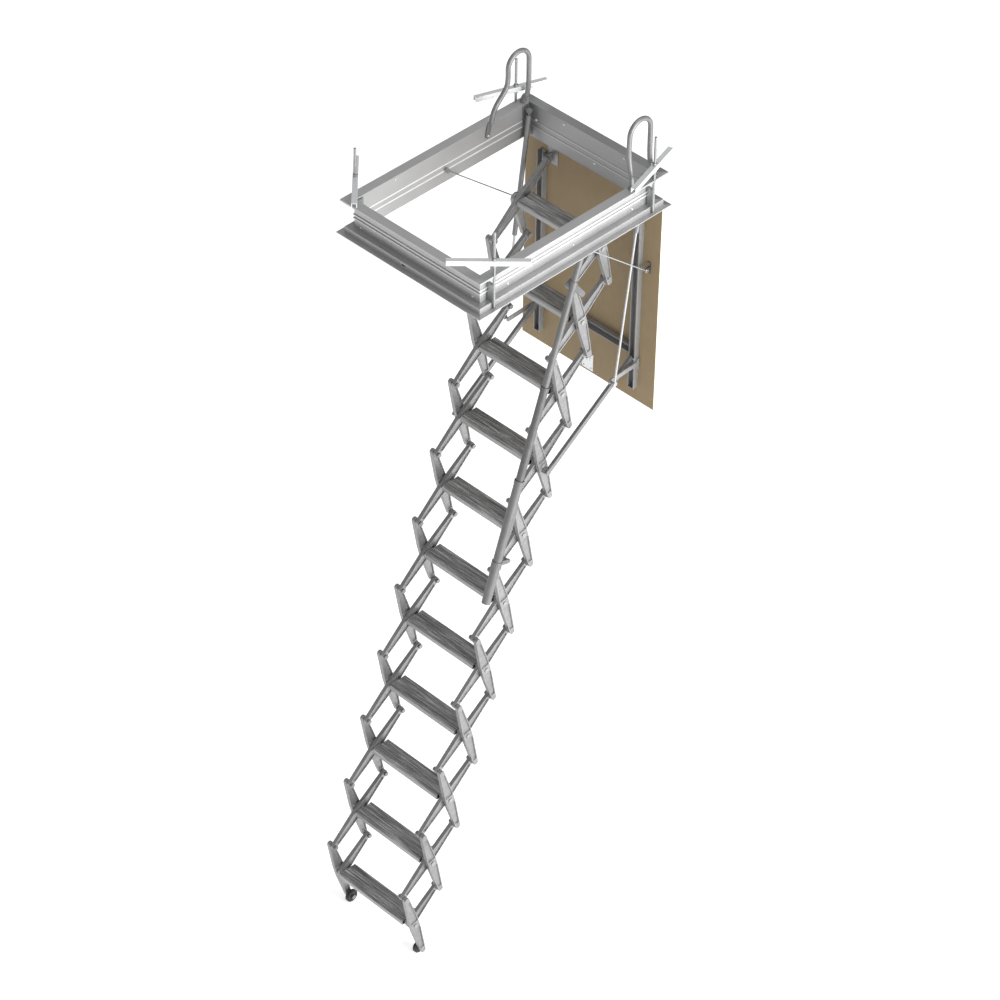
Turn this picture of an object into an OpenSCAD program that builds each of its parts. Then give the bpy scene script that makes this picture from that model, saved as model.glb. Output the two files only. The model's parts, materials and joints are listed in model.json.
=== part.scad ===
// Attic ladder: a framed ceiling hatch that carries a folding scissor ladder.
// X runs to the right as the climber sees it, Y towards the hatch hinge, Z up.
// The origin is the plan centre of the frame, at the underside of its flange.

/* [Ceiling frame] */
// Width over the outer faces of the side rails
frame_w = 500; // [496:2:640]
// Length over the outer faces of the end rails
frame_l = 700; // [620:5:900]
// Height of the frame
frame_h = 116; // [100:1:160]
// Thickness of the rail web
rail_t = 3; // [2:0.5:4]
// Width of the top lip outside the web
lip_w = 28; // [15:1:40]
// Width of the bottom flange outside the web
flange_w = 37; // [30:1:60]
// Width of the hollow foot outside the web
foot_w = 20; // [14:1:26]
// Height of the hollow foot
foot_h = 22; // [14:1:30]

/* [Hatch] */
// Width of the hatch panel beyond the frame, on each side
panel_over = 24; // [10:1:35]
// Thickness of the hatch panel
panel_t = 12.5; // [10:0.5:18]
// Depth of the hatch's stiffening channels
channel_d = 20; // [14:1:24]
// Width of the hatch's stiffening channels
channel_w = 24; // [20:1:30]

/* [Ladder] */
// Height of one step
rise = 225; // [200:5:240]
// Forward run of one step
run = 76.36; // [60:1:90]
// Half the length of an arm between its end pivots
arm_half = 141.6; // [135:0.1:160]
// Half the width of an arm at its middle
arm_w = 17.5; // [15:0.5:18]
// Half the width of an arm at its ends
arm_end = 9.5; // [8:0.5:11]
// Width of a tread between its end faces
tread_w = 285.8; // [250:1:320]
// Depth of a tread
tread_d = 67.4; // [50:1:80]
// Thickness of a tread
tread_t = 20; // [14:1:22]
// Radius of the pivot pins
pin_r = 4; // [3:0.5:5]
// Radius of a foot wheel
wheel_r = 22; // [18:1:26]

/* [Rails and struts] */
// Radius of the handrail's upper tube
rail_r = 10; // [8:0.5:12]
// Distance of the handrail in front of the ladder's front pivots
rail_off = 67; // [55:1:80]
// Length of the handrail from end to end
rail_len = 1163; // [1100:1:1200]
// Radius of a grab handle's tube
handle_r = 7.5; // [6:0.5:9]
// Height of the grab handles above the frame
handle_rise = 210; // [150:5:300]
// Width of a strut
strut_w = 16; // [12:1:18]
// Radius of a stay rod
stay_r = 2; // [1.5:0.5:3]
// Radius of a spring tube
tube_r = 7.5; // [6:0.5:9]
// Radius of a spring rod
rod_r = 3.5; // [2.5:0.5:4]

/* [Ceiling clamps] */
// Length of a clamp bar
bar_len = 232; // [180:2:260]
// Width and height of a clamp bar
bar_s = 16; // [12:1:18]
// Radius of a clamp's threaded rod
stud_r = 4; // [3:0.5:5]
// Height of a clamp rod above the frame
stud_rise = 146; // [100:1:200]

/* [Fits] */
// Radial running clearance of a pin in its bore
fit = 0.05; // [0.02:0.01:0.1]
// Side gap between parts that turn past each other
gap = 0.3; // [0.2:0.1:0.5]

/* [Hidden] */
STEPS = 11;
function two(i) = i < 10 ? str("0", i) : str(i);
TREADS = [for (i = [1:STEPS]) str("tread_", two(i))];
OUTER = [for (i = [1:STEPS]) str("outer_arms_", two(i))];
INNER = [for (i = [1:STEPS]) str("inner_arms_", two(i))];
FRAME = ["front_rail", "back_rail", "left_rail", "right_rail", "corner_brackets", "grab_handles", "clamp_rods"];
BARS = ["clamp_bar_1", "clamp_bar_2", "clamp_bar_3", "clamp_bar_4"];
HATCH = ["hatch_panel", "hatch_channels", "hatch_fittings", "ladder_brackets", "hinge_plates", "latch_hook"];
LINKS = ["struts", "spring_tubes", "spring_rods", "stay_swivels", "stay_rods"];
RAIL = ["handrail_upper", "handrail_middle", "handrail_lower", "handrail_link", "foot_wheels"];
$fn = 48;
eps = 0.02;
far = 2000;
eye_over = 0.2;

// Frame section: outward distance first, then height
wall = 2;
lip_t = 3;
lip_edge = 6;
flange_t = 3;
rib_d = 3;
rib_h = 4;
ribs_out = [50, 62];
ribs_in = [38, 58];
rib_in_d = 1.5;
mitre_reach = 20;
bracket_leg = 26;
bracket_back = 13;
bracket_t = 2;
screw_heights = [18, 48, 72];
inner_x = frame_w / 2 - rail_t;
inner_y = frame_l / 2 - rail_t;

// Hinge line of the hatch
hinge_y = frame_l / 2 + 17.75;
hinge_z = -7.5;
hinge_pin_r = 3;
knuckle_r = 6;
hinge_x = 161;
knuckle_w = 18;
leaf_w = 42;
panel_y = hinge_y - 4.25;
panel_top = hinge_z + 4.75;
panel_w = frame_w + 2 * panel_over;
panel_l = 2 * (hinge_y + panel_top - hinge_z);
hatch_floor = panel_top - panel_l;
notch_d = 12.3;
channel_low = 53;
channel_high = 27;
cross_w = 28;
plate_t = 2;
hinge_leaf_t = 1;
latch_at = [3, hatch_floor + 50];
latch_t = 4;

// Planes of the ladder's parts, measured outward from the middle
inner_0 = tread_w / 2 + 7.1;
inner_1 = inner_0 + 13;
outer_0 = inner_1 + 1.5;
outer_1 = outer_0 + 14;
strut_0 = outer_1 + 9.5;
strut_1 = strut_0 + 11;
channel_0 = strut_0 - 4;
channel_1 = channel_0 + channel_w;
rail_x = outer_1 + 36.5;
spring_x = frame_w / 2 - 22;
stay_x = frame_w / 2 - 9;
lever_0 = channel_1 + 1;
lever_1 = lever_0 + 4;

// Scissor geometry, as angles above the +Y direction
pitch = atan2(rise, run);
opening = acos(norm([rise, run]) / (2 * arm_half));
angle_a = pitch + opening;
angle_b = pitch - opening;
vec_a = arm_half * [cos(angle_a), sin(angle_a)];
vec_b = arm_half * [cos(angle_b), sin(angle_b)];
hang = [hinge_y - 34.95, hinge_z - 31.5];
function mid(i) = hang - vec_b - (STEPS - i) * [run, rise];
arm_pocket = 4;
arm_rim = 3.5;
flat_half = 26;
boss_r = 11;
tread_nose = 25.6;
tread_top = 13.6;

// Strut and lever points on the hatch
strut_hinge = [hinge_y - 22.75, hinge_z - 574.5];
strut_arm = 8;
strut_drop = 19;
strut_foot = mid(strut_arm) - strut_drop * [cos(angle_a), sin(angle_a)];
lever_pin = [hinge_y - 129.75, hinge_z - 595.5];
spring_top = [frame_l / 2 - 20, frame_h - 16];
spring_vec = lever_pin - spring_top;
spring_len = norm(spring_vec);
spring_dir = spring_vec / spring_len;
spring_boss_r = 8.5;
tube_left = 420;
tube_right = 185;
rod_start = 168;
stay_top = [hinge_y - 359.75, 41];
stay_foot = [hinge_y - 22.75, hinge_z - 229.5];
stay_dir = (stay_foot - stay_top) / norm(stay_foot - stay_top);
lug_0 = stay_x - stay_r - gap - 4;
lug_1 = stay_x - stay_r - gap;

// Handrail stages, as distances along the rail from its upper bracket
rail_up = [cos(pitch), sin(pitch)];
rail_front = [-sin(pitch), cos(pitch)];
rail_pivot = mid(10) + vec_a;
rail_foot_at = mid(7) + vec_a;
rail_zero = rail_pivot + rail_off * rail_front;
rail_top = 150;
rail_end = rail_top - rail_len;
upper_end = -335;
middle_top = -285;
middle_end = -644;
lower_top = -594;
tube_wall = 2;
sleeve = 0.06;
bracket_at = 45;
collar_h = 12;
link_at = -880;
link_drop = 52;
link_t = 5;

// Clamp positions: long end direction, side and end of the frame
nut_r = 7.5;
nut_h = 6;
guide_w = 9;
slot_w = 10;
stud_out = 25;
stud_in = 30;
clamp_dir = [315, 225, 250, 286];
clamp_x = [-1, 1, -1, 1];
clamp_y = [-1, -1, 1, 1];
bar_short = 0.43;
bar_z = frame_h + 36;
guide_top = 82;

// Grab handles: plane of the loops and distance between their legs
loop_x = inner_x - handle_r - 0.5;
handle_gap = 86;
handle_in = 14;
foot_disc_h = 4;

// Places a flat outline drawn in Y and Z between two X planes
module slab(x0, x1) {
  translate([x0, 0, 0]) rotate([90, 0, 90]) linear_extrude(x1 - x0) children();
}

// A round bar along X
module axle(x0, x1, r, p) {
  translate([x0, p[0], p[1]]) rotate([0, 90, 0]) cylinder(h = x1 - x0, r = r);
}

// A round bar in a plane of constant X, from one point to another
module spoke(x, p, q, r) {
  v = q - p;
  translate([x, p[0], p[1]]) rotate([atan2(v[1], v[0]) - 90, 0, 0]) cylinder(h = norm(v), r = r);
}

// A bent round tube that follows a path, swept ring by ring
function unit(v) = v / norm(v);
function soften(p) = concat([p[0]],
  [for (i = [0:len(p) - 2]) each [0.75 * p[i] + 0.25 * p[i + 1], 0.25 * p[i] + 0.75 * p[i + 1]]],
  [p[len(p) - 1]]);
function heading(p, i) = unit(p[min(i + 1, len(p) - 1)] - p[max(i - 1, 0)]);
function ring(c, t, r, n) = let (v = unit(cross(t, [1, 0, 0])), u = cross(v, t))
  [for (k = [0:n - 1]) c + r * (cos(360 * k / n) * u + sin(360 * k / n) * v)];

module bent_tube(points, r) {
  n = 12;
  p = soften(soften(points));
  last = len(p) - 1;
  walls = [for (i = [0:last - 1], k = [0:n - 1]) let (a = i * n + k, b = i * n + (k + 1) % n)
    each [[a, a + n, b], [b, a + n, b + n]]];
  caps = [[for (k = [0:n - 1]) k], [for (k = [n - 1:-1:0]) last * n + k]];
  polyhedron(points = [for (i = [0:last]) each ring(p[i], heading(p, i), r, n)], faces = concat(caps, walls));
}

// A flat bar outline with round eyes at its ends, a little wider than the bar
module strap(p, q, w) {
  v = q - p;
  bar = w - 2 * eye_over;
  translate(p) circle(d = w);
  translate(q) circle(d = w);
  translate(p) rotate(atan2(v[1], v[0])) translate([0, -bar / 2]) square([norm(v), bar]);
}

module both_sides() {
  children();
  mirror([1, 0, 0]) children();
}

// ---- Ceiling frame ----

module rail_section() {
  difference() {
    union() {
      translate([-rail_t, 0]) square([rail_t, frame_h]);
      translate([-rail_t, frame_h - lip_t]) square([rail_t + lip_w, lip_t]);
      translate([lip_w - wall, frame_h - lip_edge]) square([wall, lip_edge]);
      translate([-rail_t, 0]) square([rail_t + flange_w, flange_t]);
      square([foot_w, foot_h]);
      for (z = ribs_out) translate([-eps, z]) square([rib_d + eps, rib_h]);
      for (z = ribs_in) translate([-rail_t - rib_in_d, z]) square([rib_in_d + eps, rib_h]);
    }
    translate([wall, flange_t + wall]) square([foot_w - 2 * wall, foot_h - flange_t - 2 * wall]);
  }
}

// A rail facing -Y, cut to a mitre at both ends
module mitred_rail(length) {
  outer = length / 2 + flange_w + 10;
  core = length / 2 - mitre_reach;
  intersection() {
    translate([length / 2 + flange_w, 0, 0]) rotate([90, 0, -90])
      linear_extrude(length + 2 * flange_w) rail_section();
    translate([0, 0, -1]) linear_extrude(frame_h + 2) polygon([
      [-outer, -outer + length / 2], [outer, -outer + length / 2], [core, mitre_reach],
      [-core, mitre_reach]]);
  }
}

module end_rail() {
  translate([0, -frame_l / 2, 0]) mitred_rail(frame_w);
}

module front_rail() {
  color("silver") difference() {
    end_rail();
    translate([-34, -frame_l / 2 - foot_w - 1, 12]) rotate([-90, 0, 0]) keyhole();
  }
}

module keyhole() {
  cylinder(h = wall + 2, r = 4);
  translate([0, -2, 0]) cube([13, 4, wall + 2]);
}

module back_rail() {
  color("silver") mirror([0, 1, 0]) end_rail();
}

module side_rail() {
  difference() {
    translate([frame_w / 2, 0, 0]) rotate([0, 0, 90]) mitred_rail(frame_l);
    for (s = [-1, 1]) translate([frame_w / 2 + stud_out - slot_w / 2,
      s * (frame_l / 2 - stud_in) - slot_w / 2, guide_top]) cube([lip_w, slot_w, frame_h]);
  }
}

module right_rail() {
  color("lightgray") side_rail();
}

module left_rail() {
  color("gray") mirror([1, 0, 0]) side_rail();
}

module corner_brackets() {
  leg = bracket_leg;
  back_leg = bracket_back;
  t = bracket_t;
  x1 = inner_x - rib_in_d;
  y1 = inner_y - rib_in_d;
  z0 = 6;
  z1 = frame_h - 6;
  color("dimgray") both_sides() {
    for (s = [0, 1]) mirror([0, s, 0]) {
      difference() {
        translate([x1 - back_leg, y1 - leg, z0]) cube([back_leg, leg, z1 - z0]);
        translate([x1 - back_leg - 1, y1 - leg - 1, z0 - 1]) cube([back_leg + 1 - t, leg + 1 - t, z1]);
      }
      for (z = screw_heights) axle(x1 - t - 1.6, x1 - t, 4, [y1 - leg + 7, z]);
    }
    axle(spring_x - 5, x1 - t, pin_r, spring_top);
  }
}

// ---- Grab handles: bent tube, one loop on each side at the hinge end ----

module handle_loop(front) {
  y1 = frame_l / 2 - handle_in;
  yc = y1 - handle_gap / 2;
  bend = handle_gap / 2;
  top = frame_h + handle_rise - handle_r - bend;
  arch = [for (t = [0:30:180]) [loop_x, yc - bend * cos(t), top + bend * sin(t)]];
  back = [[loop_x, y1, frame_h + 34], [loop_x + 20, y1, frame_h + 18], [loop_x + 20, y1, frame_h + 1]];
  bent_tube(concat(front, arch, back), handle_r);
  translate([loop_x + 20, y1, frame_h]) cylinder(h = foot_disc_h, r = handle_r + 3);
}

module grab_handles() {
  y0 = frame_l / 2 - handle_in - handle_gap;
  tab = inner_x - rib_in_d;
  color("darkgray") {
    handle_loop([[loop_x + 20, y0 - 6, frame_h + 1], [loop_x + 20, y0 - 6, frame_h + 30],
      [loop_x, y0 - 1, frame_h + 90]]);
    translate([loop_x + 20, y0 - 6, frame_h]) cylinder(h = foot_disc_h, r = handle_r + 3);
    mirror([1, 0, 0]) {
      handle_loop([[loop_x, y0 - 66, frame_h + 6], [loop_x, y0 - 56, frame_h + 50], [loop_x, y0 - 4, frame_h + 96],
        [loop_x, y0 + 1, frame_h + 130]]);
      slab(tab - 4, tab) strap([y0 - 76, frame_h - 36], [y0 - 67, frame_h + 8], 17);
    }
  }
}

// ---- Ceiling clamps ----

function clamp_at(k) = [clamp_x[k] * (frame_w / 2 + stud_out), clamp_y[k] * (frame_l / 2 - stud_in)];

module clamp_rods() {
  color("gainsboro") for (k = [0:3]) translate([clamp_at(k)[0], clamp_at(k)[1], 0]) {
    translate([0, 0, flange_t]) cylinder(h = frame_h + stud_rise - flange_t, r = stud_r);
    mirror([clamp_x[k] > 0 ? 1 : 0, 0, 0]) translate([0, -guide_w / 2, foot_h])
      cube([stud_out - rib_d, guide_w, guide_top - foot_h]);
    for (z = [bar_z - nut_h - gap, bar_z + bar_s + gap]) translate([0, 0, z])
      cylinder(h = nut_h, r = nut_r, $fn = 6);
  }
}

module clamp_bar(k) {
  short = bar_len * bar_short;
  color("whitesmoke") translate([clamp_at(k)[0], clamp_at(k)[1], bar_z]) rotate([0, 0, clamp_dir[k]])
    difference() {
      translate([-short, -bar_s / 2, 0]) cube([bar_len, bar_s, bar_s]);
      for (side = [[-short - 1, -12], [12, bar_len - short + 1]])
        translate([side[0], wall - bar_s / 2, -1]) cube([side[1] - side[0], bar_s - 2 * wall, bar_s + 1 - wall]);
      translate([0, 0, -1]) cylinder(h = bar_s + 2, r = stud_r + fit);
    }
}

// ---- Hatch ----

module hatch_panel() {
  color("tan") difference() {
    translate([-panel_w / 2, panel_y, hatch_floor]) cube([panel_w, panel_t, panel_l]);
    for (s = [-1, 1]) translate([s * hinge_x - leaf_w / 2, panel_y - 1, panel_top - notch_d])
      cube([leaf_w, panel_t + 2, notch_d + 1]);
  }
}

module hatch_channels() {
  y0 = panel_y - channel_d;
  low = hatch_floor + channel_low;
  high = hinge_z - channel_high;
  color("gray") {
    both_sides() {
      difference() {
        translate([channel_0, y0, low]) cube([channel_w, channel_d, high - low]);
        translate([channel_0 + wall, y0 - 1, low + wall]) cube([channel_w - 2 * wall, channel_d + 1 - wall, far]);
      }
      axle(channel_0 + wall - eps, channel_1 - wall + eps, pin_r, strut_hinge);
      slab(channel_1, lever_1) translate([panel_y - 14, lever_pin[1] - 22]) square([12, 44]);
      slab(lever_0, lever_1) {
        strap(lever_pin, [panel_y - 9, lever_pin[1] + 4], strut_w);
        translate([panel_y - 14, lever_pin[1] - 22]) square([12, 44]);
      }
      axle(lever_1 - eps, spring_x - 4 - gap, pin_r, lever_pin);
    }
    difference() {
      translate([gap - channel_0, y0, strut_hinge[1] + cross_w / 2])
        cube([2 * (channel_0 - gap), channel_d, cross_w]);
      translate([-far / 2, y0 - 1, strut_hinge[1] + cross_w / 2 + wall])
        cube([far, channel_d + 1 - wall, cross_w - 2 * wall]);
    }
  }
}

module hatch_fittings() {
  x0 = -20;
  color("silver") {
    translate([x0, panel_y - plate_t, hatch_floor + 8]) cube([46, plate_t, 62]);
    both_sides() slab(lug_0, lug_1) {
      translate(stay_foot) circle(r = 7);
      translate([stay_foot[0], stay_foot[1] - 7]) square([panel_y - stay_foot[0], 14]);
    }
    both_sides() translate([lug_0 - 8, panel_y - plate_t, stay_foot[1] - 20]) cube([12 - eps, plate_t, 40]);
    translate([latch_at[0], panel_y - plate_t - 9, latch_at[1]]) rotate([-90, 0, 0]) cylinder(h = 9, r = pin_r);
  }
}

module latch_hook() {
  y1 = panel_y - plate_t - gap;
  color("gainsboro") difference() {
    translate([latch_at[0], y1, latch_at[1]]) rotate([90, 0, 0]) linear_extrude(latch_t) {
      circle(r = 11);
      translate([-6, -2]) square([12, 32]);
      translate([-6, 24]) square([18, 8]);
    }
    translate([latch_at[0], y1 - 10, latch_at[1]]) rotate([-90, 0, 0]) cylinder(h = 20, r = pin_r + fit);
  }
}

module ladder_brackets() {
  side = (leaf_w - knuckle_w) / 2 - gap;
  color("gray") both_sides() {
    translate([hinge_x - leaf_w / 2 + gap, panel_y - plate_t, hinge_z - 62]) cube([leaf_w - 2 * gap, plate_t, 55.5]);
    for (x = [hinge_x - leaf_w / 2 + gap, hinge_x + knuckle_w / 2 + gap]) difference() {
      union() {
        axle(x, x + side - gap, knuckle_r, [hinge_y, hinge_z]);
        translate([x, panel_y - plate_t, hinge_z - 7.5]) cube([side - gap, 4.25 + plate_t, 7.5]);
      }
      axle(x - 1, x + side + 1, hinge_pin_r + fit, [hinge_y, hinge_z]);
    }
    slab(inner_1 + gap, inner_1 + 6) {
      translate(hang) circle(r = arm_end - 0.5);
      translate([hang[0], hang[1] - arm_end + 0.5]) square([panel_y - plate_t - hang[0] + eps, 2 * arm_end - 1]);
      translate([panel_y - plate_t - 14, hang[1] - 22]) square([14 + eps, 24]);
    }
    axle(inner_0 - 4, inner_1 + gap + eps, pin_r, hang);
    axle(inner_0 - 5, inner_0 - gap, pin_r + 3, hang);
  }
}

module hinge_plates() {
  color("dimgray") both_sides() {
    translate([hinge_x - 15, hinge_y - knuckle_r, -hinge_leaf_t]) cube([30, 19, hinge_leaf_t]);
    translate([hinge_x - knuckle_w / 2, hinge_y - knuckle_r, hinge_z])
      cube([knuckle_w, 2 * knuckle_r, -hinge_z - hinge_leaf_t / 2]);
    axle(hinge_x - knuckle_w / 2, hinge_x + knuckle_w / 2, knuckle_r, [hinge_y, hinge_z]);
    axle(hinge_x - leaf_w / 2 + 1, hinge_x + leaf_w / 2 - 1, hinge_pin_r, [hinge_y, hinge_z]);
  }
}

// ---- Struts, springs and stays ----

module struts() {
  color("silver") both_sides() difference() {
    slab(strut_0, strut_1) {
      strap(strut_hinge, strut_foot, strut_w);
      translate(strut_foot) circle(r = strut_w / 2 + 2);
    }
    axle(strut_0 - 1, strut_1 + 1, pin_r + fit, strut_hinge);
    translate([strut_0 + 3, 0, 0]) slab(0, 6) strap(strut_foot, strut_foot + [14, 9], strut_w * 2);
  }
}

module spring_tube(length) {
  p = spring_top;
  u = spring_dir;
  difference() {
    union() {
      axle(spring_x - 5 + gap, spring_x + 5, spring_boss_r, p);
      spoke(spring_x, p + 8 * u, p + 16 * u, 4);
      spoke(spring_x, p + 14 * u, p + length * u, tube_r);
    }
    axle(spring_x - 10, spring_x + 10, pin_r + fit, p);
    spoke(spring_x, p + 17 * u, p + (length + 1) * u, rod_r + sleeve);
  }
}

module spring_tubes() {
  color("dimgray") {
    spring_tube(tube_right);
    mirror([1, 0, 0]) spring_tube(tube_left);
  }
}

module spring_rods() {
  u = spring_dir;
  color("silver") both_sides() {
    spoke(spring_x, spring_top + rod_start * u, spring_top + (spring_len - 3) * u, rod_r);
    axle(spring_x - 4, spring_x + 4, 8, lever_pin);
  }
}

module stay_swivels() {
  color("gray") both_sides() difference() {
    union() {
      axle(stay_x - 5, stay_x + 4.1, 8, stay_top);
      axle(stay_x + 4, inner_x - rib_in_d - gap, pin_r, stay_top);
    }
    spoke(stay_x, stay_top - 20 * stay_dir, stay_top + 20 * stay_dir, stay_r + sleeve);
  }
}

module stay_rods() {
  color("silver") both_sides() {
    spoke(stay_x, stay_top - 14 * stay_dir, stay_foot, stay_r);
    axle(stay_x - stay_r, stay_x + stay_r, 6, stay_foot);
  }
}

// ---- Handrail on the right ----

function on_rail(t) = rail_zero + t * rail_up;

module rail_tube(t0, t1, r, bore) {
  difference() {
    spoke(rail_x, on_rail(t0), on_rail(t1), r);
    spoke(rail_x, on_rail(t0 - 1), on_rail(t1 + 1), bore);
  }
}

module handrail_upper() {
  r = rail_r;
  color("silver") {
    rail_tube(upper_end, rail_top - 4, r, r - tube_wall);
    spoke(rail_x, on_rail(rail_top - 4 - eps), on_rail(rail_top), r);
    difference() {
      slab(rail_x - r - 4, rail_x - r + 4) {
        strap(on_rail(bracket_at), rail_pivot, 18);
        translate(on_rail(bracket_at)) circle(r = 13);
      }
      spoke(rail_x, on_rail(bracket_at - 40), on_rail(bracket_at + 40), r - eps);
    }
    rail_tube(bracket_at - 12, bracket_at + 12, r + 2, r - eps);
    axle(outer_1 + gap, rail_x - r - 3, pin_r + 1, rail_pivot);
  }
}

module handrail_middle() {
  r0 = rail_r + sleeve;
  r1 = rail_r + tube_wall;
  color("darkgray") {
    rail_tube(middle_end, middle_top, r1, r0);
    rail_tube(middle_top - collar_h, middle_top, r1 + 1.5, r1 - eps);
  }
}

module handrail_lower() {
  r0 = rail_r + tube_wall + sleeve;
  r1 = rail_r + 2 * tube_wall;
  color("gray") {
    rail_tube(rail_end + 4, lower_top, r1, r0);
    rail_tube(lower_top - collar_h, lower_top, r1 + 1.5, r1 - eps);
    spoke(rail_x, on_rail(rail_end), on_rail(rail_end + 4 + eps), r1);
  }
}

// Flat curved link from the lower tube to the seventh step
module handrail_link() {
  r = rail_r + 2 * tube_wall;
  low = on_rail(link_at) - link_drop * rail_front;
  bow = (low + rail_foot_at) / 2 - 10 * rail_front;
  color("darkgray") {
    slab(outer_1 + gap, outer_1 + link_t) {
      strap(low, bow, 13);
      strap(bow, rail_foot_at, 12);
    }
    axle(outer_1 + link_t - 1, rail_x, pin_r + 1, low);
    slab(rail_x - 3, rail_x + 3) {
      translate(low) circle(r = 7.5);
      translate(low) rotate(pitch + 90) translate([0, -7.5]) square([link_drop - r - 1.5, 15]);
    }
    rail_tube(link_at - 12, link_at + 12, r + 2.5, r + eps);
  }
}

// ---- Ladder ----

module foot_wheels() {
  c = mid(1) - vec_a;
  color("black") both_sides() difference() {
    union() {
      axle(inner_0 - 2, inner_1, wheel_r - 2, c);
      axle(inner_0, inner_1 - 2, wheel_r, c);
    }
    axle(inner_0 - 5, inner_0 - 0.5, wheel_r - 8, c);
    axle(inner_0 - 5, inner_1 + 5, pin_r + fit, c);
  }
}

module tread_section(m) {
  groove = 1.2;
  y0 = m[0] - tread_nose;
  z1 = m[1] + tread_top;
  nose = 5;
  difference() {
    union() {
      translate([y0 + nose, z1 - tread_t]) square([tread_d - nose, tread_t]);
      translate([y0, z1 - tread_t + nose]) square([nose + eps, tread_t - 2 * nose]);
      for (z = [z1 - nose, z1 - tread_t + nose]) translate([y0 + nose, z]) circle(r = nose);
    }
    for (y = [9:7:tread_d - 5]) translate([y0 + y, z1 - groove]) square([2.4, groove + 1]);
    translate([y0 + nose, z1 - tread_t + 3]) square([12, tread_t - 7]);
    translate([m[0] + 9, z1 - tread_t + 3]) square([tread_d - tread_nose - 12, tread_t - 7]);
  }
}

module tread(i) {
  m = mid(i);
  color("gray") {
    slab(-tread_w / 2, tread_w / 2) tread_section(m);
    both_sides() {
      slab(tread_w / 2, inner_0 - gap) translate([m[0] - 14, m[1] - 9]) square([28, 19]);
      axle(inner_0 - gap - eps, outer_1 + 0.6, pin_r, m);
      axle(outer_1 + gap, outer_1 + 2.5, pin_r + 3, m);
    }
  }
}

// A cast arm along +X in its own plane; from and to are its ends in half lengths
module arm_outline(from, to) {
  ends = concat(from < 0 ? [-1] : [], to > 0 ? [1] : []);
  circle(r = arm_w);
  for (s = ends) {
    translate([s * arm_half, 0]) circle(r = arm_end);
    polygon([[0, -arm_w], [s * flat_half, -arm_w], [s * arm_half, -arm_end], [s * arm_half, arm_end],
      [s * flat_half, arm_w], [0, arm_w]]);
  }
}

module arm_pockets(from, to) {
  a = boss_r + 6;
  b = arm_half - arm_end - 6;
  h0 = arm_w - arm_rim;
  h1 = arm_end - arm_rim + 0.5;
  for (s = concat(from < 0 ? [-1] : [], to > 0 ? [1] : []))
    polygon([[s * a, -h0], [s * flat_half, -h0], [s * b, -h1], [s * b, h1], [s * flat_half, h0], [s * a, h0]]);
}

module arm(x0, x1, m, angle, from, to) {
  difference() {
    slab(x0, x1) translate(m) rotate(angle) arm_outline(from, to);
    slab(x0 - 1, x0 + arm_pocket) translate(m) rotate(angle) arm_pockets(from, to);
    slab(x1 - arm_pocket, x1 + 1) translate(m) rotate(angle) arm_pockets(from, to);
    axle(x0 - 1, x1 + 1, pin_r + fit, m);
  }
}

// Outer arms carry the pins of the end pivots, which point inward
module outer_arms(i) {
  m = mid(i);
  top = i < STEPS ? [m + vec_a] : [];
  color("silver") both_sides() {
    arm(outer_0, outer_1, m, angle_a, -1, i < STEPS ? 1 : 0);
    for (p = concat([m - vec_a], top)) {
      axle(inner_0 - 7, outer_0 + eps, pin_r, p);
      axle(inner_0 - 8, inner_0 - 2 - gap, pin_r + 3.5, p);
    }
    if (i == strut_arm) axle(outer_1 - 1, strut_0 - gap, strut_w / 2 + 2, strut_foot);
  }
}

module inner_arms(i) {
  m = mid(i);
  low = i > 1 ? [m - vec_b] : [];
  color("gainsboro") both_sides() difference() {
    arm(inner_0, inner_1, m, angle_b, i > 1 ? -1 : 0, 1);
    for (p = concat(low, [m + vec_b])) axle(inner_0 - 1, inner_1 + 1, pin_r + fit, p);
  }
}

front_rail();
back_rail();
left_rail();
right_rail();
corner_brackets();
grab_handles();
clamp_rods();
for (k = [0:3]) clamp_bar(k);
hatch_panel();
hatch_channels();
hatch_fittings();
ladder_brackets();
hinge_plates();
latch_hook();
struts();
spring_tubes();
spring_rods();
stay_swivels();
stay_rods();
handrail_upper();
handrail_middle();
handrail_lower();
handrail_link();
foot_wheels();
for (i = [1:STEPS]) tread(i);
for (i = [1:STEPS]) outer_arms(i);
for (i = [1:STEPS]) inner_arms(i);
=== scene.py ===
"""Attic ladder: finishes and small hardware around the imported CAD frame."""

import json
import math

import bmesh
import bpy
from mathutils import Matrix, Quaternion, Vector

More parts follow.
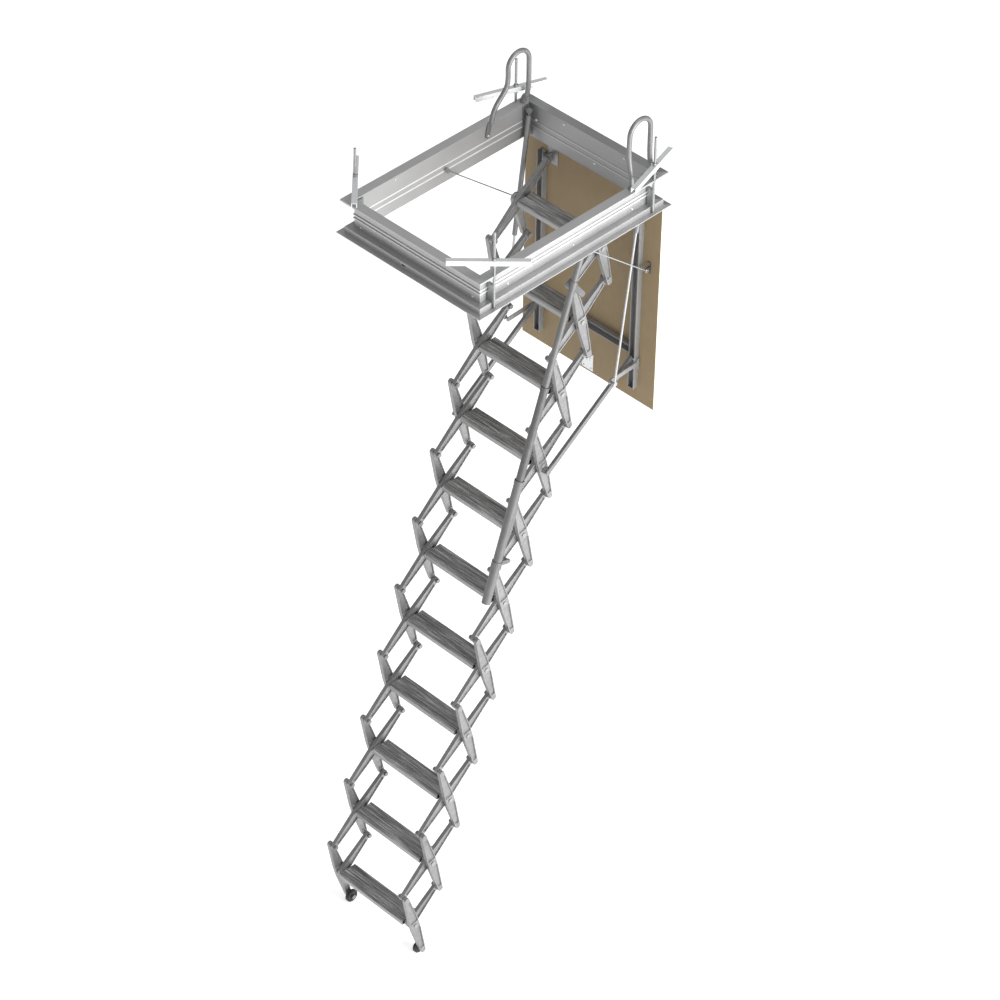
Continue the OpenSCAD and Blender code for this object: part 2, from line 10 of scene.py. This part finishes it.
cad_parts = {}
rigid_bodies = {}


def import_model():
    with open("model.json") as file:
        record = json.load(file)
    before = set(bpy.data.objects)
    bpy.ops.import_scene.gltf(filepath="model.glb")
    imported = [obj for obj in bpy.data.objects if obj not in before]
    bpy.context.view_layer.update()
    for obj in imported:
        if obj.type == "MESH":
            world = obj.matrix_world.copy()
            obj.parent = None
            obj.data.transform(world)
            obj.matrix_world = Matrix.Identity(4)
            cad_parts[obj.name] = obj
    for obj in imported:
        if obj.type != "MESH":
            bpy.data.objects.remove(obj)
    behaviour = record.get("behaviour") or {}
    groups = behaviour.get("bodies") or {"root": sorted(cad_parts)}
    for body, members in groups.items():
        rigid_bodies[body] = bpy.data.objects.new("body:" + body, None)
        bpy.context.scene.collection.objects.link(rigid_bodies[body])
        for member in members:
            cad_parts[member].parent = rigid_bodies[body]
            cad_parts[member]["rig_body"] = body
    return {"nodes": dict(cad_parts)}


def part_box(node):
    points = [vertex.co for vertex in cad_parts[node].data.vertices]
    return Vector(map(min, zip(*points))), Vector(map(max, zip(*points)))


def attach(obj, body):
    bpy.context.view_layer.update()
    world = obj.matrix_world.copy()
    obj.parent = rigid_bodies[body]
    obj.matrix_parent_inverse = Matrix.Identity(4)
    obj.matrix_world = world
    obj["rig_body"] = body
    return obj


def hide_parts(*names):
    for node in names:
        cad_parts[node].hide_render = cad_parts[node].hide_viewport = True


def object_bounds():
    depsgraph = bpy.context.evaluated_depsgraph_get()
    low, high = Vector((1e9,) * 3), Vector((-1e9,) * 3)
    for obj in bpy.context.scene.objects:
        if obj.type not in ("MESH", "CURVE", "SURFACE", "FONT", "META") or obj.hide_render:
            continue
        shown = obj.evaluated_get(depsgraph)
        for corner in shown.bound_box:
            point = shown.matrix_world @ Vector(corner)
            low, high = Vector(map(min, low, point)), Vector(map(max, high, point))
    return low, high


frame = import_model()
cad_low, cad_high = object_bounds()


# ---- Ceiling frame ----
# Four extruded aluminium rails, mitred and joined at the corners.
# Mill finish: fine die lines run along each rail, and sawn edges are lightly broken.

class Signal:
    """One output in a finish's node tree. Arithmetic on it adds Math nodes."""

    def __init__(self, finish, output):
        self.finish = finish
        self.output = output

    def maths(self, operation, first, second):
        return self.finish.node("ShaderNodeMath", {"operation": operation}, {0: first, 1: second})

    def __add__(self, other):
        return self.maths("ADD", self, other)

    def __radd__(self, other):
        return self.maths("ADD", other, self)

    def __mul__(self, other):
        return self.maths("MULTIPLY", self, other)

    def __rmul__(self, other):
        return self.maths("MULTIPLY", other, self)

    def __gt__(self, other):
        return self.maths("GREATER_THAN", self, other)

    def __lt__(self, other):
        return self.maths("LESS_THAN", self, other)


class Finish:
    """A material for one of the ladder's surfaces, with its shader's constant settings."""

    def __init__(self, name, **settings):
        self.material = bpy.data.materials.new(name)
        self.material.use_nodes = True
        self.nodes = self.material.node_tree.nodes
        self.surface = self.nodes["Principled BSDF"]
        for label, value in settings.items():
            self.surface.inputs[label.replace("_", " ")].default_value = value

    def node(self, kind, settings=None, inputs=None, output=0):
        """Adds a node: its own settings first, then the values or links of its sockets."""
        made = self.nodes.new(kind)
        for name, value in (settings or {}).items():
            if name == "stops":
                self.stops(made.color_ramp, value)
            else:
                setattr(made, name, value)
        for name, value in (inputs or {}).items():
            self.feed(made.inputs[name], value)
        return Signal(self, made.outputs[output])

    def stops(self, ramp, places):
        while len(ramp.elements) < len(places):
            ramp.elements.new(1.0)
        for element, (place, colour) in zip(ramp.elements, places):
            element.position = place
            element.color = colour

    def feed(self, socket, value):
        if isinstance(value, Signal):
            self.material.node_tree.links.new(value.output, socket)
        else:
            socket.default_value = value

    def drive(self, label, value):
        self.feed(self.surface.inputs[label], value)

    def place(self, stretch):
        """Coordinates that stay with the piece, stretched by a factor on each axis."""
        where = self.node("ShaderNodeTexCoord", output="Object")
        return self.node("ShaderNodeMapping", None, {"Vector": where, "Scale": stretch})

    def along(self, axis, kind="Object"):
        """Place along one axis: metres in the object's own frame, or 0 to 1 over it if generated."""
        where = self.node("ShaderNodeTexCoord", output=kind)
        return self.node("ShaderNodeSeparateXYZ", None, {"Vector": where}, output=axis)

    def maths_of(self, operation, value):
        return self.node("ShaderNodeMath", {"operation": operation}, {0: value})

    def cloud(self, stretch, detail=3.0, rough=0.5):
        """Noise between 0 and 1 over the piece."""
        return self.node("ShaderNodeTexNoise", None, {
            "Vector": self.place(stretch), "Scale": 1.0, "Detail": detail, "Roughness": rough})

    def blend(self, share, dark, light):
        """Mixes two colours by a value."""
        return self.node("ShaderNodeMix", {"data_type": "RGBA", "clamp_factor": True},
                         {0: share, 6: dark, 7: light}, output=2)

    def relief(self, height, depth):
        """A bump of that depth in metres, from a height between 0 and 1."""
        self.drive("Normal", self.node("ShaderNodeBump", None, {
            "Height": height, "Distance": depth, "Strength": 1.0}))


def grey(level, warm=0.0):
    """A near-neutral colour. A positive warmth takes it towards yellow."""
    return (level * (1 + warm), level, level * (1 - warm), 1.0)


def aluminium(name, lines, level, spread=0.08, roughness=0.42, depth=0.00002, metal=0.6, ribs=None):
    """Mill-finish extrusion. Lines is the noise stretch, low along the extrusion.
    Ribs is the axis across the rail and the brightness of the highlight painted on its ribs."""
    finish = Finish(name, Metallic=metal, Roughness=roughness, Specular_IOR_Level=0.5)
    die = finish.cloud(lines, detail=2.0)
    haze = finish.cloud((7, 7, 7), detail=4.0)
    shade = die * 0.5 + haze * 0.5
    colour = finish.blend(shade, grey(level - spread, -0.003), grey(level + spread))
    # Painted highlight: bands on the ribs are drawn brighter than the rest of the rail, by an amount set per
    # rail.
    if ribs:
        across, rib_highlight = ribs
        height = finish.along("Z")
        away = finish.maths_of("ABSOLUTE", finish.along(across))
        web = WEB_OUT[across]
        lower, upper = ((height > z) * (height < z + RIB_W) for z in OUTER_RIBS)
        outside = (away > web + RIB_SKIN) * (lower + upper)
        lower, upper = ((height > z) * (height < z + RIB_W) for z in INNER_RIBS)
        inside = (away < web - WEB - RIB_SKIN) * (lower + upper)
        colour = finish.blend(outside + inside, colour, grey(rib_highlight))
    finish.drive("Base Color", colour)
    finish.drive("Roughness", roughness - 0.1 + haze * 0.2)
    finish.relief(die, depth)
    return finish.material


def broken_edges(node, width=0.0004, sharp=32):
    """A copy of a CAD node's surface with its hard edges rounded off, standing in for the node."""
    source = frame["nodes"][node]
    surface = bmesh.new()
    surface.from_mesh(source.data)
    bmesh.ops.remove_doubles(surface, verts=surface.verts, dist=1e-6)
    bmesh.ops.dissolve_limit(surface, angle_limit=math.radians(0.8), verts=surface.verts, edges=surface.edges)
    turn = math.radians(sharp)
    hard = [e for e in surface.edges if e.is_manifold and e.calc_face_angle(0) > turn]
    if width:
        bmesh.ops.bevel(surface, geom=hard, offset=width, segments=2, profile=0.5, affect="EDGES",
                        clamp_overlap=False)
    for face in surface.faces:
        face.smooth = True
    for edge in surface.edges:
        edge.smooth = edge.calc_face_angle(0) < turn
    mesh = bpy.data.meshes.new(node + "_surface")
    surface.to_mesh(mesh)
    surface.free()
    return stand_in(mesh, node)


def stand_in(mesh, node):
    """Puts a mesh in the scene in place of one CAD node, on that node's body."""
    piece = add_piece(mesh, node + "_made", frame["nodes"][node]["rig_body"])
    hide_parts(node)
    even = piece.modifiers.new("even_shading", "WEIGHTED_NORMAL")
    even.keep_sharp = True
    return piece


def add_piece(mesh, name, body):
    piece = bpy.data.objects.new(name, mesh)
    bpy.context.scene.collection.objects.link(piece)
    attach(piece, body)
    return piece


def paint(piece, material):
    piece.data.materials.clear()
    piece.data.materials.append(material)
    return piece


FRAME_GREY = 0.47
WEB_OUT = {"X": 0.250, "Y": 0.350}
WEB = 0.003
RIB_SKIN = 0.0005
RIB_W = 0.005
OUTER_RIBS = (0.0495, 0.0615)
INNER_RIBS = (0.0375, 0.0575)
# Painted highlight on the ribs: brightest on the side rails, which face the key light, and dimmer on the
# front rail.
along_x = aluminium("mill_aluminium_x", (3, 900, 900), FRAME_GREY, ribs=("Y", 0.62))
along_y = aluminium("mill_aluminium_y", (900, 3, 900), FRAME_GREY, ribs=("X", 0.92))
along_z = aluminium("mill_aluminium_z", (900, 900, 3), FRAME_GREY - 0.14)
# Painted shade: the back rail takes a darker copy of the rail metal, with dimmer rib highlights, for its face
# turned from the lights.
along_x_shaded = aluminium("mill_aluminium_x_shaded", (3, 900, 900), FRAME_GREY - 0.17, ribs=("Y", 0.45))
for node, lines in (("front_rail", along_x), ("back_rail", along_x_shaded),
                    ("left_rail", along_y), ("right_rail", along_y)):
    paint(broken_edges(node), lines)


# ---- Corner brackets and their screws ----
# Zinc-plated steel angles pressed into the corners, and pan-head screws through the rails.
# The screws have a hexagon socket. A plated rim is pressed round the front rail's keyhole.

def zinc(name, level, roughness=0.38, spread=0.06, metal=0.8, dark_above=None):
    """Zinc plating: a soft spangle, slightly cool. Above a given height it can be drawn dark and warm."""
    finish = Finish(name, Metallic=metal, Roughness=roughness)
    spangle = finish.node("ShaderNodeTexVoronoi", {"feature": "F1"},
                          {"Vector": finish.place((260, 260, 260)), "Scale": 1.0}, output="Color")
    level_of = finish.node("ShaderNodeSeparateColor", None, {"Color": spangle})
    haze = finish.cloud((25, 25, 25), detail=5.0)
    shade = level_of * 0.4 + haze * 0.6
    colour = finish.blend(shade, grey(level - spread, -0.02), grey(level + spread, -0.005))
    # Above the given height the colour turns dark and warm.
    if dark_above is not None:
        colour = finish.blend(finish.along("Z") > dark_above, colour, grey(0.16, 0.08))
    finish.drive("Base Color", colour)
    finish.drive("Roughness", roughness - 0.08 + haze * 0.16)
    finish.relief(haze, 0.00004)
    return finish.material


SCREW_SIDES = 24
SMALL_SCREW = 0.0035


def lathe(rings, sides=SCREW_SIDES):
    """A turned form from (radius, height, hexagon) rings. A true third value makes that ring a hexagon."""
    form = bmesh.new()
    loops = []
    for radius, height, hexagon in rings:
        loop = []
        for k in range(sides):
            angle = 2 * math.pi * k / sides
            off = (angle + math.pi / 6) % (math.pi / 3) - math.pi / 6
            r = radius * math.cos(math.pi / 6) / math.cos(off) if hexagon else radius
            loop.append(form.verts.new((r * math.cos(angle), r * math.sin(angle), height)))
        loops.append(loop)
    for low, high in zip(loops, loops[1:]):
        for k in range(sides):
            form.faces.new((low[k], low[(k + 1) % sides], high[(k + 1) % sides], high[k]))
    form.faces.new(loops[0][::-1])
    form.faces.new(loops[-1])
    for face in form.faces:
        face.smooth = True
    for edge in form.edges:
        edge.smooth = edge.calc_face_angle(0) < math.radians(35)
    return form


def finished(form, name, place=None):
    """Turns a bmesh into a mesh, moved to its place."""
    if place is not None:
        form.transform(place)
    mesh = bpy.data.meshes.new(name)
    form.to_mesh(mesh)
    form.free()
    return mesh


def aimed(at, axis):
    """The place of a form whose foot is at a point and whose own Z is along the axis."""
    return Matrix.Translation(Vector(at)) @ Vector(axis).to_track_quat("Z", "Y").to_matrix().to_4x4()


def screw(name, at, axis, body, radius=0.004):
    """A pan-head screw with a hexagon socket, its head's underside at a point."""
    r = radius
    form = lathe([(r, 0, False), (r, 0.25 * r, False), (0.93 * r, 0.45 * r, False),
                  (0.75 * r, 0.6 * r, False), (0.56 * r, 0.64 * r, False),
                  (0.5 * r, 0.63 * r, True), (0.5 * r, 0.2 * r, True)])
    piece = add_piece(finished(form, name, aimed(at, axis)), name, body)
    return paint(piece, zinc_bright)


zinc_grey = zinc("zinc_grey", 0.34)
zinc_dark = zinc("zinc_dark", 0.26, roughness=0.45)
zinc_bright = zinc("zinc_bright", 0.74, roughness=0.3)
paint(broken_edges("corner_brackets", 0.0003), zinc_dark)
paint(broken_edges("hinge_plates", 0.0003), zinc_grey)

RIB_T = 0.0015
LOW_ROW, HIGH_ROW = 0.031, 0.105
BACK_SCREWS = ((-0.216, 0.066), (-0.105, HIGH_ROW), (0.134, HIGH_ROW), (0.02, 0.03))
FRONT_SCREWS = tuple((x, z) for z in (LOW_ROW, HIGH_ROW) for x in (-0.222, 0.222))
SIDE_SCREWS = (0.02, -0.24, 0.26)
INNER_SCREW = -0.193
inner_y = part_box("back_rail")[0].y
web_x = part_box("right_rail")[0].x
for k, (x, z) in enumerate(BACK_SCREWS):
    screw(f"back_rail_screw_{k + 1}", (x, inner_y + RIB_T, z), (0, -1, 0), "frame")
for k, (x, z) in enumerate(FRONT_SCREWS):
    screw(f"front_rail_screw_{k + 1}", (x, -WEB_OUT["Y"], z), (0, -1, 0), "frame")
for side, label in ((1, "right"), (-1, "left")):
    for k, y in enumerate(SIDE_SCREWS):
        screw(f"{label}_rail_screw_{k + 1}", (side * WEB_OUT["X"], y, LOW_ROW), (side, 0, 0), "frame")
    screw(f"{label}_inner_screw", (side * (web_x + RIB_T), INNER_SCREW, HIGH_ROW), (-side, 0, 0), "frame")

FLANGE_PAST_FOOT = 0.017
KEYHOLE = Vector((-0.0295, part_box("front_rail")[0].y + FLANGE_PAST_FOOT, 0.012))
RIM_OUT, RIM_IN, RIM_T = (0.0115, 0.0075), (0.0092, 0.0048), 0.0012
rim = bmesh.new()
rings = [[rim.verts.new(KEYHOLE + Vector((sx * half[0], -deep, sz * half[1])))
          for sx, sz in ((-1, -1), (1, -1), (1, 1), (-1, 1))]
         for half, deep in ((RIM_OUT, 0), (RIM_OUT, RIM_T), (RIM_IN, RIM_T), (RIM_IN, 0))]
for near, far in zip(rings, rings[1:] + rings[:1]):
    for k in range(4):
        rim.faces.new((near[k], near[(k + 1) % 4], far[(k + 1) % 4], far[k]))
bmesh.ops.recalc_face_normals(rim, faces=rim.faces)
keyhole_rim = add_piece(finished(rim, "keyhole_rim"), "keyhole_rim", "frame")
paint(keyhole_rim, zinc_bright)


# ---- Grab handles ----
# Bent 15 mm aluminium tube, one loop on each side at the hinge end.
# Right loop: both feet stand on the lip. Left loop: the front foot is flattened and screwed inside the rail.

def smooth_path(points, rounds=3):
    """Rounds the corners of a path by cutting them."""
    path = [Vector(p) for p in points]
    for _ in range(rounds):
        cut = [path[0]]
        for a, b in zip(path, path[1:]):
            cut += [a.lerp(b, 0.25), a.lerp(b, 0.75)]
        path = cut + [path[-1]]
    return path


def tube(path, radius, sides=20):
    """A round tube along a path, closed at both ends."""
    form = bmesh.new()
    loops = []
    side = Vector((1, 0, 0))
    for k, point in enumerate(path):
        ahead = (path[min(k + 1, len(path) - 1)] - path[max(k - 1, 0)]).normalized()
        across = ahead.cross(side).normalized()
        other = across.cross(ahead)
        loops.append([form.verts.new(point + radius * (math.cos(a) * across + math.sin(a) * other))
                      for a in (2 * math.pi * n / sides for n in range(sides))])
    for low, high in zip(loops, loops[1:]):
        for n in range(sides):
            form.faces.new((low[n], low[(n + 1) % sides], high[(n + 1) % sides], high[n]))
    form.faces.new(loops[0][::-1])
    form.faces.new(loops[-1])
    bmesh.ops.recalc_face_normals(form, faces=form.faces)
    for face in form.faces:
        face.smooth = True
    return form


def tube_finish(name, level, lines=(60, 60, 60)):
    """Drawn tube: a satin surface with faint marks from handling."""
    finish = Finish(name, Metallic=0.6, Roughness=0.5)
    marks = finish.cloud(lines, detail=6.0, rough=0.6)
    haze = finish.cloud((9, 9, 9), detail=2.0)
    shade = marks * 0.5 + haze * 0.5
    finish.drive("Base Color", finish.blend(shade, grey(level - 0.09, -0.01), grey(level + 0.07)))
    finish.drive("Roughness", 0.42 + marks * 0.16)
    finish.relief(marks, 0.00003)
    return finish.material


handle_finish = tube_finish("handle_tube", 0.24)
HANDLE_R = 0.0075
LOOP_X = 0.239
BACK_Y, FRONT_Y = 0.336, 0.250
LIP_Z = 0.116
BEND = (BACK_Y - FRONT_Y) / 2
LOOP_H = 0.2085
BEND_Z = LIP_Z + LOOP_H - HANDLE_R - BEND
LIP_X = LOOP_X + 0.02
BEND_STEP = 15
arch = [(LOOP_X, (BACK_Y + FRONT_Y) / 2 - BEND * math.cos(turn), BEND_Z + BEND * math.sin(turn))
        for turn in (math.radians(t) for t in range(0, 181, BEND_STEP))]
back_leg = [(LOOP_X, BACK_Y, LIP_Z + 0.034), (LIP_X, BACK_Y, LIP_Z + 0.018), (LIP_X, BACK_Y, LIP_Z + 0.001)]
right_leg = [(LIP_X, FRONT_Y - 0.006, LIP_Z + 0.001), (LIP_X, FRONT_Y - 0.006, LIP_Z + 0.03),
             (LOOP_X, FRONT_Y - 0.001, LIP_Z + 0.09)]
left_leg = [(LOOP_X, FRONT_Y - 0.066, LIP_Z + 0.006), (LOOP_X, FRONT_Y - 0.056, LIP_Z + 0.05),
            (LOOP_X, FRONT_Y - 0.004, LIP_Z + 0.096), (LOOP_X, FRONT_Y + 0.001, LIP_Z + 0.13)]


def foot_disc(x, y):
    """The pressed foot of a handle, and its place on the lip."""
    r = HANDLE_R + 0.003
    disc = lathe([(r, 0, False), (r, 0.0026, False), (r - 0.0012, 0.004, False), (HANDLE_R, 0.0042, False)])
    return disc, Matrix.Translation((x, y, LIP_Z))


def joined(parts):
    """One bmesh of several, each with its place."""
    whole = bmesh.new()
    for form, place in parts:
        form.transform(place)
        mesh = bpy.data.meshes.new("part")
        form.to_mesh(mesh)
        form.free()
        whole.from_mesh(mesh)
        bpy.data.meshes.remove(mesh)
    return whole


TAB_Y, TAB_Z = FRONT_Y - 0.076, LIP_Z - 0.036
TAB_HALF = 0.0085
TAB_OUT, TAB_T = 0.004, 0.0038
here = Matrix.Identity(4)
flip = Matrix.Scale(-1, 4, (1, 0, 0))
right_loop = [(tube(smooth_path(right_leg + arch + back_leg), HANDLE_R), here), foot_disc(LIP_X, BACK_Y),
              foot_disc(LIP_X, FRONT_Y - 0.006)]
left_loop = [(tube(smooth_path(left_leg + arch + back_leg), HANDLE_R), here), foot_disc(LIP_X, BACK_Y)]


def flat_foot():
    """The flattened end of the left loop: a rounded tab that lies on the rail's inner face."""
    low, high = Vector((0, TAB_Y, TAB_Z)), Vector((0, FRONT_Y - 0.067, LIP_Z + 0.008))
    along = (high - low).normalized()
    across = Vector((0, -along.z, along.y))
    outline = []
    for k in range(13):
        a = math.pi * k / 12
        outline.append(low + TAB_HALF * (math.cos(a) * across - math.sin(a) * along))
    outline += [high - TAB_HALF * across, high + TAB_HALF * across]
    form = bmesh.new()
    face = form.faces.new([form.verts.new((web_x - TAB_OUT, p.y, p.z)) for p in outline])
    grown = bmesh.ops.extrude_face_region(form, geom=[face])
    bmesh.ops.translate(form, verts=[v for v in grown["geom"] if isinstance(v, bmesh.types.BMVert)],
                        vec=(TAB_T, 0, 0))
    bmesh.ops.recalc_face_normals(form, faces=form.faces)
    bmesh.ops.bevel(form, geom=[e for e in form.edges if e.calc_face_angle(0) > 1], offset=0.0006, segments=2,
                    profile=0.5, affect="EDGES")
    for f in form.faces:
        f.smooth = True
    for e in form.edges:
        e.smooth = e.calc_face_angle(0) < 0.6
    return form


left_loop.append((flat_foot(), here))
left_whole = joined(left_loop)
left_whole.transform(flip)
bmesh.ops.reverse_faces(left_whole, faces=left_whole.faces)
both = joined([(joined(right_loop), here), (left_whole, here)])
handles = stand_in(finished(both, "grab_handles_surface"), "grab_handles")
paint(handles, handle_finish)
screw("left_handle_screw", (-(web_x - TAB_OUT), TAB_Y, TAB_Z), (1, 0, 0), "frame", SMALL_SCREW)


# ---- Ceiling clamps ----
# A steel rod stands in a guide at each corner, with two nuts that hold a swivelling channel bar.
# The bars are bright zinc, and lie across the joists above the frame.

paint(broken_edges("clamp_rods", 0.0003), zinc_grey)
bar_zinc = zinc("bar_zinc", 0.80, roughness=0.34, spread=0.04, metal=0.55)
for k in (1, 2, 3, 4):
    paint(broken_edges(f"clamp_bar_{k}", 0.0005), bar_zinc)


# ---- Hatch panel ----
# Pressed fibreboard, 12.5 mm, that closes the opening. Brown faces, and a pale sawn edge sealed with lacquer.

EDGE_SKIN = 0.0006


def fibreboard():
    finish = Finish("fibreboard", Roughness=0.62, Specular_IOR_Level=0.35)
    low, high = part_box("hatch_panel")
    fibre = finish.cloud((420, 420, 420), detail=4.0, rough=0.7)
    flake = finish.cloud((60, 60, 22), detail=3.0)
    tone = finish.cloud((3, 3, 2.2), detail=2.0)
    shade = fibre * 0.45 + flake * 0.25 + tone * 0.3
    face = finish.blend(shade, (0.23, 0.165, 0.092, 1), (0.40, 0.305, 0.18, 1))
    x, z = finish.along("X"), finish.along("Z")
    ends = ((x < low.x + EDGE_SKIN) + (x > high.x - EDGE_SKIN)
            + (z < low.z + EDGE_SKIN) + (z > high.z - EDGE_SKIN))
    edge = finish.blend(fibre, (0.66, 0.58, 0.43, 1), (0.86, 0.80, 0.66, 1))
    finish.drive("Base Color", finish.blend(ends, face, edge))
    finish.drive("Roughness", 0.55 + fibre * 0.2)
    finish.relief(fibre * 0.7 + flake * 0.3, 0.00012)
    return finish.material


paint(broken_edges("hatch_panel", 0.0008), fibreboard())


# ---- Hatch metalwork ----
# Two aluminium channels and a cross channel stiffen the panel; steel hinge leaves carry the ladder.
# The latch is a bright zinc plate with a turning hook; the stay lugs higher up are drawn dark and warm.

zinc_fittings = zinc("zinc_fittings", 0.74, roughness=0.3, dark_above=-0.5)
paint(broken_edges("hatch_channels", 0.0005), along_z)
paint(broken_edges("hatch_fittings", 0.0003), zinc_fittings)
paint(broken_edges("latch_hook", 0.0004), zinc_bright)
paint(broken_edges("ladder_brackets", 0.0004), zinc_grey)
PLATE_T = 0.002
plate_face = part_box("hatch_panel")[0].y - PLATE_T
PLATE_SCREWS = tuple((x, z) for z in (-0.685, -0.733) for x in (-0.012, 0.018))
LEAF_X, LEAF_SCREWS = 0.175, (-0.060, -0.046)
for k, (x, z) in enumerate(PLATE_SCREWS):
    screw(f"latch_plate_screw_{k + 1}", (x, plate_face, z), (0, -1, 0), "hatch", SMALL_SCREW)
for side, label in ((1, "right"), (-1, "left")):
    for k, z in enumerate(LEAF_SCREWS):
        screw(f"{label}_leaf_screw_{k + 1}", (side * LEAF_X, plate_face, z), (0, -1, 0), "hatch", SMALL_SCREW)


# ---- Struts, springs and stays ----
# Flat cast aluminium struts brace the ladder.
# Spring tubes with steel rods, and thin stay rods, hold the hatch.

cast = aluminium("cast_aluminium", (70, 70, 70), 0.30, spread=0.14, roughness=0.44, depth=0.00012,
                 metal=0.75)
strut_cast = aluminium("strut_aluminium", (70, 70, 70), 0.24, spread=0.06, roughness=0.44, depth=0.00008,
                       metal=0.75)
rod_steel = zinc("rod_steel", 0.5, roughness=0.26, spread=0.03)
paint(broken_edges("struts", 0.0008), strut_cast)
paint(broken_edges("spring_tubes", 0.0004), tube_finish("spring_tube", 0.25))
paint(broken_edges("spring_rods", 0.0003), rod_steel)
paint(broken_edges("stay_swivels", 0.0004), zinc_grey)
paint(broken_edges("stay_rods", 0.0003), rod_steel)


# ---- Handrail ----
# Three drawn aluminium tubes that slide in one another, each with a pressed collar.
# A flat aluminium link joins them to the ladder.

rail_finish = tube_finish("handrail_tube", 0.20)
dark_rail = tube_finish("handrail_tube_dark", 0.16)
paint(broken_edges("handrail_upper", 0.0004), rail_finish)
paint(broken_edges("handrail_middle", 0.0004), dark_rail)
paint(broken_edges("handrail_lower", 0.0004), rail_finish)
paint(broken_edges("handrail_link", 0.0005), rail_finish)


# ---- Foot wheels ----
# Moulded rubber tyres on a plastic hub, on the pins of the lowest arms.

def rubber():
    finish = Finish("black_rubber", Roughness=0.6)
    dust = finish.cloud((90, 90, 90), detail=5.0, rough=0.65)
    finish.drive("Base Color", finish.blend(dust, (0.010, 0.010, 0.011, 1), (0.035, 0.034, 0.033, 1)))
    finish.drive("Roughness", 0.45 + dust * 0.3)
    finish.relief(dust, 0.0001)
    return finish.material


paint(broken_edges("foot_wheels", 0.001), rubber())


# ---- Treads ----
# Grooved aluminium extrusions, cut to length and pinned between the arms.
# Their tops alone carry light and dark streaks along their length.

def tread_finish():
    finish = Finish("tread_aluminium", Metallic=0.7, Roughness=0.5)
    streak = finish.cloud((16, 480, 40), detail=3.0, rough=0.6)
    wide = finish.cloud((5, 160, 20), detail=2.0)
    shade = finish.node("ShaderNodeValToRGB", {"stops": [
        (0.37, grey(0.14)), (0.47, grey(0.27)), (0.55, grey(0.37)), (0.65, grey(0.72))]},
        {"Fac": streak * 0.6 + wide * 0.4})
    body = finish.blend(wide, grey(0.30), grey(0.46))
    height = finish.along("Z", "Generated")
    top = finish.node("ShaderNodeMapRange", None, {"Value": height, "From Min": 0.86, "From Max": 0.90})
    finish.drive("Base Color", finish.blend(top, body, shade))
    finish.drive("Roughness", 0.42 + streak * 0.2)
    finish.relief(streak, 0.00005)
    return finish.material


tread_metal = tread_finish()
STEPS = 11
for i in range(1, STEPS + 1):
    paint(broken_edges(f"tread_{i:02d}", 0.0005), tread_metal)


# ---- Arms ----
# Die-cast aluminium, crossed in pairs, with a raised rim round a shallow pocket.
# The outer arms carry the pins, and each pair crosses at its tread.

for i in range(1, STEPS + 1):
    paint(broken_edges(f"outer_arms_{i:02d}", 0.0008), cast)
    paint(broken_edges(f"inner_arms_{i:02d}", 0.0008), cast)


# ---- Floor, light and camera ----
# A plain pale floor under the wheels, and soft studio light, most of it from the ladder's right side.
# The camera stands where the photo was taken from.

def floor_finish():
    finish = Finish("studio_floor", Roughness=0.9, Specular_IOR_Level=0.1)
    speck = finish.cloud((3, 3, 3), detail=2.0)
    finish.drive("Base Color", finish.blend(speck, grey(0.90), grey(0.93)))
    finish.surface.inputs["Emission Color"].default_value = grey(1.0)
    finish.surface.inputs["Emission Strength"].default_value = 0.55
    return finish.material


FLOOR_SIZE = 30
form = bmesh.new()
bmesh.ops.create_grid(form, x_segments=8, y_segments=8, size=FLOOR_SIZE)
ground = finished(form, "studio_floor", Matrix.Translation((0, 0, cad_low.z)))
floor = bpy.data.objects.new("studio_floor", ground)
bpy.context.scene.collection.objects.link(floor)
paint(floor, floor_finish())


def soft_light(name, at, aim, size, power):
    lamp = bpy.data.lights.new(name, "AREA")
    lamp.size = size
    lamp.energy = power
    holder = bpy.data.objects.new(name, lamp)
    holder.location = at
    holder.rotation_mode = "QUATERNION"
    holder.rotation_quaternion = (Vector(aim) - Vector(at)).to_track_quat("-Z", "Y")
    bpy.context.scene.collection.objects.link(holder)


centre = (cad_low + cad_high) / 2
soft_light("key_right", (6.6, 0.4, 0.4), centre, 4.0, 600)
soft_light("fill_front", (-1.0, -7.0, 1.5), centre, 5.0, 25)
soft_light("top", (1.0, 1.0, 6.0), centre, 5.0, 170)

sky = bpy.data.worlds.new("studio_sky")
sky.use_nodes = True
sky.node_tree.nodes["Background"].inputs["Color"].default_value = grey(1.0)
sky.node_tree.nodes["Background"].inputs["Strength"].default_value = 0.38
bpy.context.scene.world = sky

AZIMUTH, ELEVATION, ROLL = (math.radians(a) for a in (44.34, 40.39, 0.76))
look = Vector((-math.sin(AZIMUTH) * math.cos(ELEVATION), math.cos(AZIMUTH) * math.cos(ELEVATION),
               -math.sin(ELEVATION)))
lens = bpy.data.cameras.new("studio_camera")
lens.sensor_width = 36
lens.lens = 132.9
lens.clip_end = 100
camera = bpy.data.objects.new("studio_camera", lens)
camera.location = (5.9353, -6.0781, 6.1797)
camera.rotation_mode = "QUATERNION"
camera.rotation_quaternion = Quaternion(look, -ROLL) @ look.to_track_quat("-Z", "Y")
bpy.context.scene.collection.objects.link(camera)
bpy.context.scene.camera = camera
bpy.context.scene.view_settings.view_transform = "Standard"
